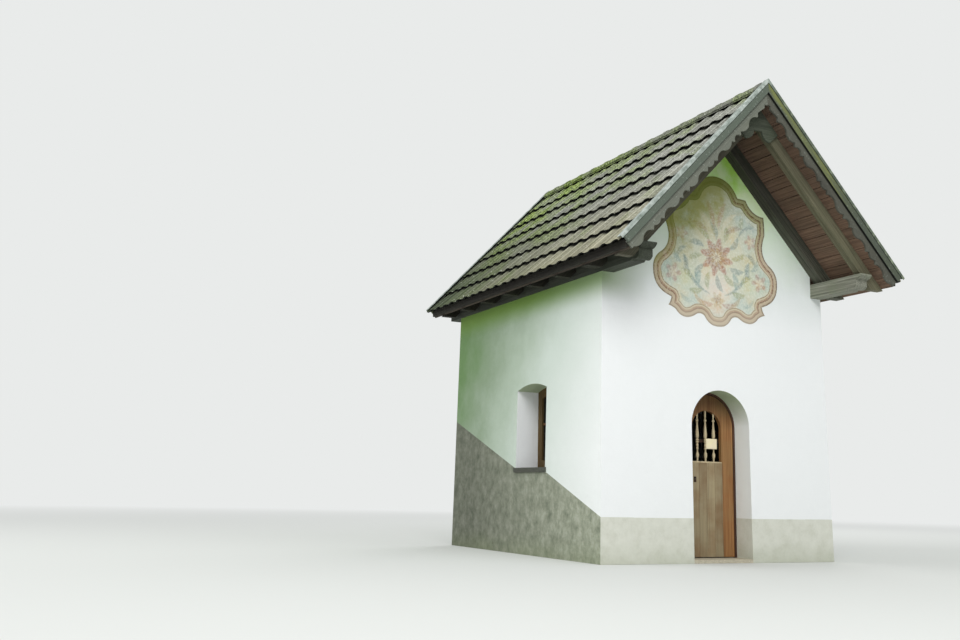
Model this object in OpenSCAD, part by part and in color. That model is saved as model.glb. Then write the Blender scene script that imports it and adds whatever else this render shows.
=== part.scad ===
// A small roadside chapel: plastered masonry walls that lean in a little, a round-headed door,
// a window in each side wall, and a steep tiled roof with carved boards over a deep front overhang.
// Millimetres, +Z up. The front faces -Y. The origin is on the ground, under the middle of the roof.

/* [Walls] */
// Outside width at the foot
body_w = 2900; // [2700:10:3300]
// Outside length at the foot, front to back
body_l = 3360; // [3000:10:4200]
// Thickness of the walls at the foot
wall_t = 380; // [360:5:440]
// Height of the side walls, up to the wall plates
wall_h = 2810; // [2700:10:3100]
// How far the outer faces lean in, in each metre of height
wall_lean = 12.7; // [0:0.1:18]
// Top of the floor inside, and of the threshold
floor_h = 35; // [20:1:60]

/* [Plinth] */
// Height of the grey plinth across the front
plinth_h = 435; // [300:5:600]
// Height of the grey plinth across the back, where the ground is higher
plinth_back_h = 1510; // [1200:10:1700]

/* [Door] */
// Width of the doorway between its outer jambs
door_w = 730; // [660:5:800]
// Height at which the doorway's round arch springs
door_spring = 1355; // [1300:5:1500]
// Depth of the outer reveal in front of the door
reveal_d = 245; // [220:5:270]
// How much wider than the reveal the inner side of the doorway is, on each side
rebate_w = 65; // [50:1:90]
// Width of the door frame that shows beside the leaf
frame_show = 20; // [15:1:60]
// Depth of the door frame
frame_d = 45; // [40:1:60]
// Thickness of the leaf
leaf_t = 40; // [30:1:45]
// Gap between the leaf and its frame
leaf_gap = 8; // [7:0.5:12]
// Gap under the leaf
sill_gap = 10; // [8:1:20]
// Width of the leaf's stiles
stile_w = 137; // [110:1:150]
// Width of the grille opening in the leaf
grille_w = 380; // [300:5:400]
// Bottom of the grille opening, above the ground
grille_z = 1005; // [900:5:1100]
// Number of turned balusters in the grille
baluster_n = 3; // [2:1:5]
// Swell of a baluster, from its axis
baluster_r = 17.5; // [12:0.5:20]
// Opening angle of the leaf, 0 is shut
door_angle = 0; // [0:1:95]

/* [Side windows] */
// Width of a window opening
window_w = 650; // [500:5:760]
// Distance of a window's middle from the front foot line
window_y = 1410; // [1300:2:1700]
// Top of a window's sill
window_sill_z = 915; // [800:5:1000]
// Height at which a window's flat arch springs
window_spring = 1757; // [1500:5:1800]
// Rise of a window's flat arch
window_rise = 57; // [30:1:120]
// Depth of a window's outer reveal
window_reveal = 285; // [200:5:300]
// Width of a window's wooden frame
window_frame_w = 88; // [60:1:110]
// Depth of a window's wooden frame
window_frame_d = 52; // [40:1:60]
// Thickness of a sill
sill_t = 50; // [35:1:70]
// How far a sill stands out from the wall
sill_out = 20; // [10:1:40]
// How far a sill runs into the wall beside the opening
sill_ear = 20; // [5:1:40]

/* [Roof] */
// Pitch of the roof in degrees
pitch = 46.3; // [45:0.1:48]
// Overhang of the roof beyond the front foot line
front_over = 818; // [600:2:900]
// Overhang of the roof beyond the back foot line
back_over = 296; // [260:2:400]
// Reach of the rafter tails beyond the side foot lines
tail_out = 203; // [150:1:260]
// Overhang of the tiles beyond the rafter tails
tile_over = 122; // [90:2:140]
// Length of one tile course up the slope
course_l = 350; // [320:1:380]
// Depth of the tile layer with its battens
tile_d = 131; // [110:1:140]
// Thickness of the sheathing boards
sheath_t = 22; // [18:1:30]
// Depth of a rafter, square to the slope
rafter_d = 118; // [90:1:130]
// Width of a rafter
rafter_w = 80; // [60:1:100]
// Width of the rafters that lie against the front gable
wall_rafter_w = 120; // [80:1:140]
// Number of rafter pairs over the room
rafter_n = 5; // [3:1:7]
// Width of a wall plate
plate_w = 155; // [140:1:180]
// Height of a wall plate
plate_d = 150; // [130:1:160]
// How far a wall plate stands out past the wall's foot line
plate_out = 690; // [560:5:760]

/* [Carved boards] */
// Width of the plain upper fascia board at the rake
fascia_w = 97; // [80:1:105]
// Thickness of the rake boards
board_t = 22; // [18:1:26]
// Depth below the roof's top of the points between the scallops
cusp_p = 168; // [160:1:178]
// Depth below the roof's top of the scallops' teeth
tooth_p = 200; // [190:1:208]
// Length that each ridge tile covers
ridge_tile_l = 313; // [280:1:350]
// Radius of the ridge tiles at their collars
ridge_r = 102; // [95:1:125]

/* [Hidden] */
$fn = 96;

// Walls
half_w = body_w / 2;
room_x = half_w - wall_t;
room_y0 = wall_t;
room_y1 = body_l - wall_t;
top_lean = wall_lean * wall_h / 1000;

// Roof: p is the depth below the roof's top plane, square to it; s runs down the slope
front_y = (front_over - body_l - back_over) / 2;
sin_p = sin(pitch);
cos_p = cos(pitch);
tan_p = tan(pitch);
cap_t = 3;
tile_top_p = 5;
tile_step = 22;
tile_nose = 62;
sheath_p = tile_top_p + tile_d;
rafter_p = sheath_p + sheath_t;
rafter_low_p = rafter_p + rafter_d;
eave_p = tile_top_p + tile_nose;
plate_out_x = half_w - 20;
plate_in_x = plate_out_x - plate_w;
plate_top = wall_h + plate_d;
plate_back_gap = 60;
tail_z = wall_h + 10;
rafter_end_x = half_w + tail_out;
slope_l = (rafter_end_x + tile_over) / cos_p;
ridge_h = tail_z + rafter_p / cos_p + rafter_end_x * tan_p;
roof_y0 = -front_over;
roof_y1 = body_l + back_over;
ridge_gap = 2;
ridge_wing = 100;
ridge_sink = 20;
ridge_rise = 87;
bed_w = 160;
collar_l = 55;
collar_d = 6;
cap_w = 65;
cap_drip = 29;
cap_clear = 5;
cap_seat = 0.1;
fascia_p = cap_t + cap_seat;
cap_short = 20;
mitre = 0.5;
fascia_y0 = roof_y0 + cap_clear;
board_y0 = fascia_y0 + board_t;
roof_deck_y0 = board_y0 + board_t;
roof_deck_y1 = roof_y1 - cap_clear - board_t;
fascia_end_s = slope_l - 50;
board_lap = 16;
notch_w = 76;
notch_drop = 271;
flying_back = 148;
flying_y0 = roof_deck_y0 + flying_back;
apex_board_t = 25;
arch_w = 103;
arch_h = 100;
arch_tip = [154, 192];

// Door
door_r = door_w / 2;
inner_r = door_r + rebate_w;
frame_r = door_r - frame_show;
leaf_r = frame_r - leaf_gap;
leaf_y0 = reveal_d + 5;
leaf_y1 = leaf_y0 + leaf_t;
frame_y1 = reveal_d + frame_d;
leaf_z0 = floor_h + sill_gap;
grille_spring = door_spring - 18;
ledge_h = 12;
hinge_x = leaf_r + 4;
hinge_y = leaf_y1 + 13;
hinge_zs = [370, 1220];
pin_r = 6;
pin_gap = 0.3;
pintle_h = 20;
hook_w = 24;
hook_plate_w = 78;
pin_above = 6;
knuckle_r = 9;
strap_t = 4;
strap_half = 18;
strap_l = 420;
lock_x = -154;
lock_z = 820;
lock_w = 180;
lock_h = 120;
lock_t = 28;
keyhole_in = 30;
plate_t = 3;
plate_lw = 30;
plate_lh = 56;

// Windows
window_y0 = window_y - window_w / 2;
window_y1 = window_y + window_w / 2;
sill_bottom = window_sill_z - sill_t;
sill_y0 = window_y0 - sill_ear;
sill_y1 = window_y1 + sill_ear;
sill_x = half_w - window_reveal - window_frame_d;
glass_t = 4;
eps = 1;

// Placing and extruding
module from_foot() translate([0, front_y, 0]) children();

// A shape drawn in X and Z, run from y0 to y1
module along_y(y0, y1) translate([0, y1, 0]) rotate([90, 0, 0]) linear_extrude(y1 - y0) children();

// A shape drawn in Y and Z, run from x0 to x1
module along_x(x0, x1) translate([x0, 0, 0]) rotate([90, 0, 90]) linear_extrude(x1 - x0) children();

module on_side(side) mirror([side < 0 ? 1 : 0, 0, 0]) children();

module block(lo, hi) translate(lo) cube(hi - lo);

// Walls
function lean(z) = wall_lean * z / 1000;

// The outside of the walls: a solid whose four faces lean in
module leaning_block(h) intersection() {
    along_y(-eps, body_l + eps)
        polygon([[-half_w, 0], [half_w, 0], [half_w - lean(h), h], [-half_w + lean(h), h]]);
    along_x(-half_w - eps, half_w + eps)
        polygon([[0, 0], [body_l, 0], [body_l - lean(h), h], [lean(h), h]]);
}

// The grey plinth seen from the side: it climbs with the ground and breaks at the window sill
module plinth_side_shape() polygon([[-eps, -eps], [-eps, plinth_h], [0, plinth_h],
    [sill_y0, sill_bottom], [sill_y0, window_sill_z], [sill_y1, window_sill_z],
    [body_l, plinth_back_h], [body_l + eps, plinth_back_h], [body_l + eps, -eps]]);

// A window's outline: upright sides and a flat arch
module window_shape(inset = 0) {
    w = window_w - 2 * inset;
    rise = window_rise * w / window_w;
    r = (w * w / 4 + rise * rise) / (2 * rise);
    spring = window_spring + window_rise - inset - rise;
    translate([window_y - w / 2, window_sill_z + inset]) square([w, spring - window_sill_z - inset]);
    intersection() {
        translate([window_y, spring + rise - r]) circle(r, $fn = 240);
        translate([window_y - w / 2, spring - eps]) square([w, rise + 2 * eps]);
    }
}

module side_wall_solid() difference() {
    intersection() {
        leaning_block(wall_h);
        block([room_x, -eps, 0], [half_w, body_l + eps, wall_h]);
    }
    along_x(room_x - eps, half_w + eps) window_shape();
    block([sill_x, sill_y0, sill_bottom], [half_w + eps, sill_y1, window_sill_z]);
}

module side_wall(side) color("white") from_foot() on_side(side) difference() {
    side_wall_solid();
    along_x(room_x - eps, half_w + eps) plinth_side_shape();
}

module side_plinth(side) color("#8f8b80") from_foot() on_side(side) intersection() {
    side_wall_solid();
    along_x(room_x - eps, half_w + eps) plinth_side_shape();
}

// A doorway's outline: a rectangle under a half circle
module door_shape(r, z0) {
    translate([-r, z0]) square([2 * r, door_spring - z0]);
    intersection() {
        translate([0, door_spring]) circle(r);
        translate([-r - eps, door_spring - eps]) square([2 * r + 2 * eps, r + 2 * eps]);
    }
}

module doorway() {
    along_y(-eps, reveal_d) door_shape(door_r, -eps);
    along_y(reveal_d, wall_t + eps) door_shape(inner_r, -eps);
}

// The front wall between the side walls, with its doorway, from z0 up to z1
module front_slice(x0, x1, z0, z1) from_foot() difference() {
    intersection() {
        leaning_block(wall_h);
        block([x0, -eps, z0], [x1, wall_t, z1]);
    }
    doorway();
}

module front_wall_left() color("white") front_slice(-room_x, 0, plinth_h, door_spring);
module front_wall_right() color("white") front_slice(0, room_x, plinth_h, door_spring);
module front_wall_over_door() color("white") front_slice(-room_x, room_x, door_spring, wall_h);
module plinth_front_left() color("#c9c5ba") front_slice(-room_x, 0, 0, plinth_h);
module plinth_front_right() color("#c9c5ba") front_slice(0, room_x, 0, plinth_h);

module back_slice(z0, z1) from_foot() intersection() {
    leaning_block(wall_h);
    block([-room_x, body_l - wall_t, z0], [room_x, body_l + eps, z1]);
}

module back_wall() color("white") back_slice(plinth_back_h, wall_h);
module plinth_back() color("#8f8b80") back_slice(0, plinth_back_h);

function roof_z(p, x) = ridge_h - p / cos_p - x * tan_p;

// A gable stands between the wall plates and reaches up to the sheathing
module gable_shape() polygon([[-plate_in_x, wall_h], [plate_in_x, wall_h],
    [plate_in_x, roof_z(rafter_p, plate_in_x)], [0, roof_z(rafter_p, 0)],
    [-plate_in_x, roof_z(rafter_p, plate_in_x)]]);

module front_gable() color("white") from_foot() along_y(top_lean, wall_t) gable_shape();
module back_gable() color("white") from_foot()
    along_y(body_l - wall_t, body_l - top_lean) gable_shape();

module floor_slab() color("#9a938a") from_foot()
    block([-room_x, room_y0, 0], [room_x, room_y1, floor_h]);

module threshold() color("#b5aea2") from_foot() intersection() {
    leaning_block(wall_h);
    union() {
        block([-door_r, -eps, 0], [door_r, reveal_d, floor_h]);
        block([-inner_r, reveal_d, 0], [inner_r, wall_t, floor_h]);
    }
}

// Door
module door_frame() color("#4a2c20") from_foot() along_y(reveal_d, frame_y1) difference() {
    door_shape(inner_r, floor_h);
    door_shape(frame_r, floor_h - eps);
}

module grille_shape() {
    r = grille_w / 2;
    translate([-r, grille_z]) square([grille_w, grille_spring - grille_z]);
    intersection() {
        translate([0, grille_spring]) circle(r);
        translate([-r, grille_spring - eps]) square([grille_w, r + 2 * eps]);
    }
}

module panel_shape() translate([-leaf_r + stile_w, leaf_z0])
    square([2 * (leaf_r - stile_w), grille_z - ledge_h - leaf_z0]);

// What swings with the door turns about the hinge pins
module swing() translate([hinge_x, hinge_y, 0]) rotate(-door_angle) translate([-hinge_x, -hinge_y, 0])
    children();

// Stiles and round head, cut through for the grille and the boards
module door_leaf() color("#9c6238") from_foot() swing() along_y(leaf_y0, leaf_y1) difference() {
    door_shape(leaf_r, leaf_z0);
    grille_shape();
    translate([-grille_w / 2, grille_z - ledge_h]) square([grille_w, ledge_h + eps]);
    panel_shape();
}

module door_boards() color("#8b7257") from_foot() swing() along_y(leaf_y0, leaf_y1) panel_shape();

// One turned baluster from the ledge up: a foot, a bulb, rings, a long vase and rings again.
// Heights are in parts of its full height, radii in parts of its greatest
module baluster() {
    h = grille_spring + grille_w / 2 - grille_z;
    outline = [[0.5, 0], [0.5, 0.06], [0.78, 0.085], [0.95, 0.115], [0.95, 0.135], [0.78, 0.16], [0.4, 0.19],
        [0.4, 0.225], [0.75, 0.245], [0.75, 0.262], [0.4, 0.28], [0.72, 0.305], [0.78, 0.325], [0.4, 0.355],
        [0.9, 0.372], [0.9, 0.388], [0.5, 0.4], [0.95, 0.412], [0.95, 0.428], [0.5, 0.445], [0.9, 0.475],
        [1, 0.51], [0.92, 0.57], [0.7, 0.65], [0.48, 0.74], [0.42, 0.78], [0.85, 0.795], [0.85, 0.813],
        [0.42, 0.83], [0.42, 0.87], [0.55, 0.88], [0.55, 1]];
    rotate_extrude() polygon(concat([[0, -eps]], [[baluster_r * outline[0][0], -eps]],
        [for (q = outline) [baluster_r * q[0], h * q[1]]], [[0, h]]));
}

module door_grille() color("#cdbb98") from_foot() swing() {
    pitch_x = grille_w / (baluster_n + 1) * 1.1;
    intersection() {
        along_y(leaf_y0, leaf_y1) grille_shape();
        for (i = [0 : baluster_n - 1])
            translate([(i - (baluster_n - 1) / 2) * pitch_x, (leaf_y0 + leaf_y1) / 2, grille_z]) baluster();
    }
    block([-grille_w / 2, leaf_y0, grille_z - ledge_h], [grille_w / 2, leaf_y1, grille_z]);
}

// A keyhole plate outside and a rim lock case inside
module door_lock() color("#2e2b28") from_foot() swing() {
    along_y(leaf_y0 - plate_t, leaf_y0) translate([lock_x, lock_z]) difference() {
        square([plate_lw, plate_lh], center = true);
        translate([0, plate_lh / 9]) circle(plate_lw / 8);
        translate([-plate_lw / 16, -plate_lh / 6]) square([plate_lw / 8, plate_lh * 0.28]);
    }
    block([lock_x + keyhole_in - lock_w, leaf_y1, lock_z - lock_h / 2],
        [lock_x + keyhole_in, leaf_y1 + lock_t, lock_z + lock_h / 2]);
}

module door_hinges() color("#2e2b28") from_foot() swing() for (z = hinge_zs) difference() {
    union() {
        block([hinge_x - strap_l, leaf_y1, z - strap_half], [leaf_r, leaf_y1 + strap_t, z + strap_half]);
        block([hinge_x - 2 * knuckle_r, leaf_y1, z - strap_half], [hinge_x - 2, hinge_y, z + strap_half]);
        translate([hinge_x, hinge_y, z - strap_half]) cylinder(r = knuckle_r, h = 2 * strap_half);
    }
    translate([hinge_x, hinge_y, z - strap_half - eps])
        cylinder(r = pin_r + pin_gap, h = 2 * (strap_half + eps));
}

// Hooks fixed on the frame's back; their pins carry the hinges' knuckles
module hinge_pins() color("#2e2b28") from_foot() for (z = hinge_zs) {
    z0 = z - strap_half - 1;
    translate([hinge_x, hinge_y, z0 - pintle_h]) cylinder(r = pin_r, h = pintle_h + 2 * strap_half + pin_above);
    block([hinge_x, frame_y1, z0 - pintle_h], [hinge_x + hook_w, hinge_y + pin_r, z0]);
    block([hinge_x, frame_y1, z0 - pintle_h], [hinge_x + hook_plate_w, frame_y1 + strap_t, z0]);
}

// Windows
module both_sides() for (side = [-1, 1]) on_side(side) children();

module window_frames() color("#6b4a2c") from_foot() both_sides()
    along_x(sill_x, half_w - window_reveal) difference() {
        window_shape();
        window_shape(window_frame_w);
    }

module window_glass() color("#2a3136") from_foot() both_sides() {
    x = half_w - window_reveal - window_frame_d / 2;
    along_x(x - glass_t / 2, x + glass_t / 2) window_shape(window_frame_w);
}

module window_sills() color("#4c4d4a") from_foot() both_sides()
    block([sill_x, sill_y0, sill_bottom], [half_w - lean(window_sill_z) + sill_out, sill_y1, window_sill_z]);

// Wall plates with carved front ends: a nose, a lobe and a cusp. The outline is drawn in Y and Z
module plate_shape() {
    y = -plate_out;
    t = plate_top;
    u = plate_d / 150;
    y1 = body_l + back_over - plate_back_gap;
    polygon(concat([[y1, t - plate_d], [y1, t], [y, t], [y, t - 12 * u]],
        arc_pts([y, t - 12 * u], [y + 72, t - 52 * u], -9), [[y + 72, t - 118 * u]],
        arc_pts([y + 72, t - 118 * u], [y + 176, t - 130 * u], -24), [[y + 206, t - plate_d]]));
}

module wall_plate(side) color("#6f6d66") from_foot() on_side(side)
    along_x(plate_in_x, plate_out_x) plate_shape();

// A rafter from the ridge down, notched over the plate and cut level at the tail
module rafter_shape() difference() {
    polygon([[0, roof_z(rafter_p, 0)], [rafter_end_x, tail_z],
        [(ridge_h - rafter_low_p / cos_p - tail_z) / tan_p, tail_z], [0, roof_z(rafter_low_p, 0)]]);
    translate([plate_in_x, tail_z - eps]) square([plate_w, plate_top - tail_z + eps]);
}

module rafter_row(side) color("#5b4a3e") from_foot() on_side(side) {
    front_mid = top_lean - wall_rafter_w / 2;
    back_mid = body_l - top_lean + rafter_w / 2;
    step = (back_mid - front_mid) / (rafter_n + 1);
    along_y(top_lean - wall_rafter_w, top_lean) rafter_shape();
    for (i = [1 : rafter_n + 1])
        along_y(front_mid + i * step - rafter_w / 2, front_mid + i * step + rafter_w / 2) rafter_shape();
}

module flying_rafter(side) color("#8d8a80") from_foot() on_side(side)
    along_y(flying_y0, flying_y0 + rafter_w) rafter_shape();

// The board over the joint of the flying rafters: a flattened arch between two points
module apex_board() color("#8d8a80") from_foot() along_y(flying_y0 - apex_board_t, flying_y0) {
    tip = [arch_tip[0], roof_z(rafter_low_p, 0) - arch_tip[1]];
    lift = (ridge_h - tip[1]) * cos_p - tip[0] * sin_p - rafter_p;
    arch = [for (a = [15 : 15 : 90]) tip + [-arch_w * sin(a), arch_h * (1 - cos(a))]];
    right = concat([tip + lift * [sin_p, cos_p], tip], arch);
    polygon(concat([[0, roof_z(rafter_p, 0)]], right,
        [for (i = [len(right) - 1 : -1 : 0]) [-right[i][0], right[i][1]]]));
}

// Roof skins
// A sheet between depths p0 and p1, from the ridge down to x1, with an upright end
module slope_sheet(p0, p1, x1, y0, y1) along_y(y0, y1)
    polygon([[0, roof_z(p0, 0)], [x1, roof_z(p0, x1)], [x1, roof_z(p1, x1)], [0, roof_z(p1, 0)]]);

function down(s, p) = [s * cos_p - p * sin_p, ridge_h - s * sin_p - p * cos_p];

module sheathing(side) color("#6a4638") from_foot() on_side(side)
    slope_sheet(sheath_p, rafter_p, rafter_end_x, roof_deck_y0, roof_deck_y1);

// The top of the tiles: each course's nose stands over the course below, and the last course runs on
// under the ridge tiles
courses = floor((slope_l - ridge_wing) / course_l);
high_p = tile_top_p + tile_step;
tile_top = concat([for (i = [0 : courses - 1]) each [down(slope_l - i * course_l, tile_top_p),
    down(slope_l - (i + 1) * course_l, high_p)]], [[0, roof_z(high_p, 0)]]);

// Tiles and battens as one sheet; its lower edge runs free beyond the eave board
module tile_field(side) color("#84837a") from_foot() on_side(side) along_y(roof_deck_y0, roof_deck_y1)
    polygon(concat(tile_top, [[0, roof_z(sheath_p, 0)], [rafter_end_x, roof_z(sheath_p, rafter_end_x)],
        [rafter_end_x, roof_z(eave_p, rafter_end_x)], down(slope_l, eave_p)]));

// The top of a round of radius r, down to its edges, and the narrower mortar bed that carries it on both slopes
module ridge_section(r) difference() {
    top = ridge_h - ridge_sink;
    intersection() {
        translate([0, top - ridge_r]) circle(r);
        polygon(concat(tile_top, [for (i = [len(tile_top) - 2 : -1 : 0]) [-tile_top[i][0], tile_top[i][1]]],
            [[-slope_l, ridge_h], [slope_l, ridge_h]]));
    }
    for (side = [-1, 1]) on_side(side)
        translate([bed_w / 2, top - ridge_rise - ridge_r]) square(ridge_r);
}

// Half-round tiles between the caps, each with a collar at its front end
module ridge_tiles() color("#8b8f62") from_foot() {
    y0 = roof_y0 + cap_w + ridge_gap;
    y1 = roof_y1 - cap_w - ridge_gap;
    n = round((y1 - y0) / ridge_tile_l);
    step = (y1 - y0) / n;
    for (i = [0 : n - 1]) translate([0, y0 + i * step, 0]) {
        along_y(0, collar_l) ridge_section(ridge_r);
        along_y(collar_l, step - ridge_gap) ridge_section(ridge_r - collar_d);
    }
}

// A plain board or sheet along the rake, with a hairline mitre at the ridge
module rake_board(p0, p1, end_s, y0, y1) along_y(y0, y1)
    polygon([[mitre, roof_z(p0, mitre)], down(end_s, p0), down(end_s, p1), [mitre, roof_z(p1, mitre)]]);

module front_fascia(side) color("#8b9792") from_foot() on_side(side)
    rake_board(fascia_p, fascia_p + fascia_w, fascia_end_s, fascia_y0, board_y0);

// Points on the arc from a to b whose middle stands out by sag
function arc_pts(a, b, sag, n = 7) = let (d = b - a, c = norm(d), m = (a + b) / 2, u = d / c,
    v = [-u[1], u[0]], r = (c * c / 4 + sag * sag) / (2 * sag), o = m + v * (sag - r),
    half = asin(min(1, c / 2 / abs(r))))
    [for (i = [1 : n]) let (t = -half + 2 * half * i / n) o + u * abs(r) * sin(t) + v * r * cos(t)];

// One repeat of the scalloped edge: a small lobe, a tooth, a wide arch, a lobe, a tooth, a small arch,
// and the same again in mirror order
lobe_a = 109;
tooth_w = 33;
arch_b = 165;
lobe_b = 116;
arch_c = 105;
scallop_l = lobe_a + 4 * tooth_w + 2 * arch_b + 2 * lobe_b + arch_c;
first_lobe_s = 250;
tooth = [tooth_w, tooth_p - cusp_p];
function wide_arch(a, b) = arc_pts(a, b, arch_p - tooth_p, 9);
function wide_lobe(a, b) = arc_pts(a, b, 19);
arch_p = 161;
function scallops(s, with_lobe) = let (
    c1 = [s + lobe_a, cusp_p], t1 = c1 + tooth, l1 = t1 + [arch_b, -5], c2 = [l1[0] + lobe_b, cusp_p],
    t2 = c2 + tooth, t3 = t2 + [arch_c, 0], c3 = [t3[0] + tooth_w, cusp_p], l2 = [c3[0] + lobe_b, tooth_p - 5],
    t4 = l2 + [arch_b, 5], c4 = [t4[0] + tooth_w, cusp_p])
    concat(with_lobe ? arc_pts([s, cusp_p], c1, 27) : [c1], [t1], wide_arch(t1, l1), wide_lobe(l1, c2),
        [t2], arc_pts(t2, t3, arch_p - tooth_p), [c3], wide_lobe(c3, l2), wide_arch(l2, t4), [c4]);

// The carved board starts behind the fascia's lower edge. Both sides meet over a square notch
module bargeboard(side) color("#9b958c") from_foot() on_side(side) {
    p0 = fascia_p + fascia_w - board_lap;
    n = ceil((fascia_end_s - first_lobe_s) / scallop_l);
    edge = [for (k = [0 : n - 1]) each scallops(first_lobe_s + k * scallop_l, k > 0)];
    kept = [for (q = edge) if (q[0] < fascia_end_s - tooth_w / 2) q];
    rising = [for (i = [len(kept) - 1 : -1 : 0]) down(kept[i][0], kept[i][1])];
    along_y(board_y0, board_y0 + board_t) polygon(concat(
        [[0, roof_z(p0, 0)], down(fascia_end_s, p0), down(fascia_end_s, cusp_p)], rising,
        [[notch_w / 2, ridge_h - notch_drop - notch_w / 2], [notch_w / 2, ridge_h - notch_drop],
            [0, ridge_h - notch_drop]]));
}

// Folded metal caps over the rake: a top sheet with a drip in front
module cap_side(y_out, y_in) {
    lo = min(y_out, y_in);
    hi = max(y_out, y_in);
    drip_lo = y_out < y_in ? y_out : y_out - cap_t;
    rake_board(0, cap_t, slope_l - cap_short, lo, hi);
    rake_board(0, cap_drip, slope_l - cap_short, drip_lo, drip_lo + cap_t);
}

module front_caps() color("#c4cbc6") from_foot() both_sides() cap_side(roof_y0, roof_y0 + cap_w);
module back_caps() color("#c4cbc6") from_foot() both_sides() cap_side(roof_y1, roof_y1 - cap_w);

module back_fascias() color("#77736a") from_foot() both_sides()
    rake_board(fascia_p, rafter_p, fascia_end_s, roof_deck_y1, roof_deck_y1 + board_t);

// A board over the ends of the battens; the sheathing's edge shows below it
module eave_boards() color("#4a3a30") from_foot() both_sides()
    block([rafter_end_x, roof_deck_y0, roof_z(sheath_p, rafter_end_x)],
        [rafter_end_x + board_t, roof_deck_y1, roof_z(eave_p, rafter_end_x + board_t)]);

plinth_front_left();
plinth_front_right();
side_plinth(-1);  // plinth_left
side_plinth(1);  // plinth_right
plinth_back();
front_wall_left();
front_wall_right();
front_wall_over_door();
side_wall(-1);  // left_wall
side_wall(1);  // right_wall
back_wall();
front_gable();
back_gable();
floor_slab();
threshold();
door_frame();
door_leaf();
door_boards();
door_grille();
door_lock();
door_hinges();
hinge_pins();
window_frames();
window_glass();
window_sills();
wall_plate(-1);  // wall_plate_left
wall_plate(1);  // wall_plate_right
rafter_row(-1);  // rafters_left
rafter_row(1);  // rafters_right
flying_rafter(-1);  // flying_rafter_left
flying_rafter(1);  // flying_rafter_right
apex_board();
sheathing(-1);  // sheathing_left
sheathing(1);  // sheathing_right
tile_field(-1);  // tiles_left
tile_field(1);  // tiles_right
ridge_tiles();
front_fascia(-1);  // front_fascia_left
front_fascia(1);  // front_fascia_right
bargeboard(-1);  // bargeboard_left
bargeboard(1);  // bargeboard_right
front_caps();
back_fascias();
back_caps();
eave_boards();
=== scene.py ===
"""Dresses a small roadside chapel: roof tiles, boards, painted ornament and the finish of every surface.

Metres, +Z up, the front towards -Y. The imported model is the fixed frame, and each piece is worked out from
it.
"""
import math
from functools import partial

import bmesh
import bpy
import numpy as np
from mathutils import Matrix, Vector


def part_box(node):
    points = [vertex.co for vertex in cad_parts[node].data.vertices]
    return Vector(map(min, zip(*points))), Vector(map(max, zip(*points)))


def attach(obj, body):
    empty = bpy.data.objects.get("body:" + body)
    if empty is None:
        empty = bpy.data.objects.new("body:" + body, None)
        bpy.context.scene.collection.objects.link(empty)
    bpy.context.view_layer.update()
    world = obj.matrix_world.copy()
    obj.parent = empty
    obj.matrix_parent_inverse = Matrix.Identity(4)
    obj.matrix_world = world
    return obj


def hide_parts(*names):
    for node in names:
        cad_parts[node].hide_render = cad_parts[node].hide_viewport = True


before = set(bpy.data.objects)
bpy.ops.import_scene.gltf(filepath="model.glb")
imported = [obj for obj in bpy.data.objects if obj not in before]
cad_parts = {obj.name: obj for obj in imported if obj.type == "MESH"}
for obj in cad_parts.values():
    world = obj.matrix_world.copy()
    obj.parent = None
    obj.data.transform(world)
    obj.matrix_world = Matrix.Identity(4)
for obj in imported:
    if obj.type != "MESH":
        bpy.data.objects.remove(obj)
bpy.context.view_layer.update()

bl_info = {
    "name": "Small chapel dressing",
    "version": (1, 0, 0),
    "blender": (4, 5, 0),
    "location": "3D View > Sidebar > Chapel",
    "description": "Tiles, boards, painted ornament and finishes for a small roadside chapel",
    "category": "Object",
}

# The frame's own sizes; _P marks a depth under the roof's top plane
SHEATH_T = 0.022
CAP_MITRE = 0.0005
DECK_LO, DECK_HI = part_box("sheathing_right")
DECK_REACH = math.hypot(DECK_HI.x, DECK_HI.z - DECK_LO.z)
PITCH = math.acos(SHEATH_T / DECK_REACH) - math.atan2(DECK_HI.x, DECK_HI.z - DECK_LO.z)
SIN, COS, TAN = math.sin(PITCH), math.cos(PITCH), math.tan(PITCH)
ROOF_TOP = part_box("front_caps")[1].z + CAP_MITRE * TAN
SHEATH_P = (ROOF_TOP - DECK_HI.z) * COS
TILE_LO, TILE_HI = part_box("tiles_right")
TILE_P = 0.005
SLOPE_L = (TILE_HI.x + TILE_P * SIN) / COS
FOOT_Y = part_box("plinth_front_left")[0].y
BACK_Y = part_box("plinth_back")[1].y
_, GABLE_Y, WALL_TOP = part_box("front_gable")[0]
LEAN = (GABLE_Y - FOOT_Y) / WALL_TOP
LEAF_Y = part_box("door_leaf")[0].y
CAP_DRIP_P = 0.029
FASCIA_LOW_P = 0.100

# Turns that bring a grain along these directions onto X
ALONG_X, ALONG_Y, ALONG_Z = (0, 0, 0), (0, 0, -math.pi / 2), (0, math.pi / 2, 0)
UP_LEFT_SLOPE, UP_RIGHT_SLOPE = (0, PITCH, 0), (0, -PITCH, 0)


def linear(code):
    """An sRGB hex colour as linear red, green, blue and full alpha."""
    parts = [int(code[i:i + 2], 16) / 255 for i in (1, 3, 5)]
    return tuple(c / 12.92 if c <= 0.04045 else ((c + 0.055) / 1.055) ** 2.4 for c in parts) + (1.0,)


def per_metre(*mm):
    """The pattern scale at which a feature is this many millimetres wide, or this many along X, Y and Z."""
    scales = tuple(1000 / size for size in mm)
    return scales if len(mm) > 1 else scales[0]


# Sizes and colours that a user would change
def length(name, description, default):
    return bpy.props.FloatProperty(name=name, description=description, default=default, min=0, unit="LENGTH")


def colour(name, description, code):
    return bpy.props.FloatVectorProperty(
        name=name, description=description, default=linear(code), size=4, min=0, max=1, subtype="COLOR")


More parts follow.
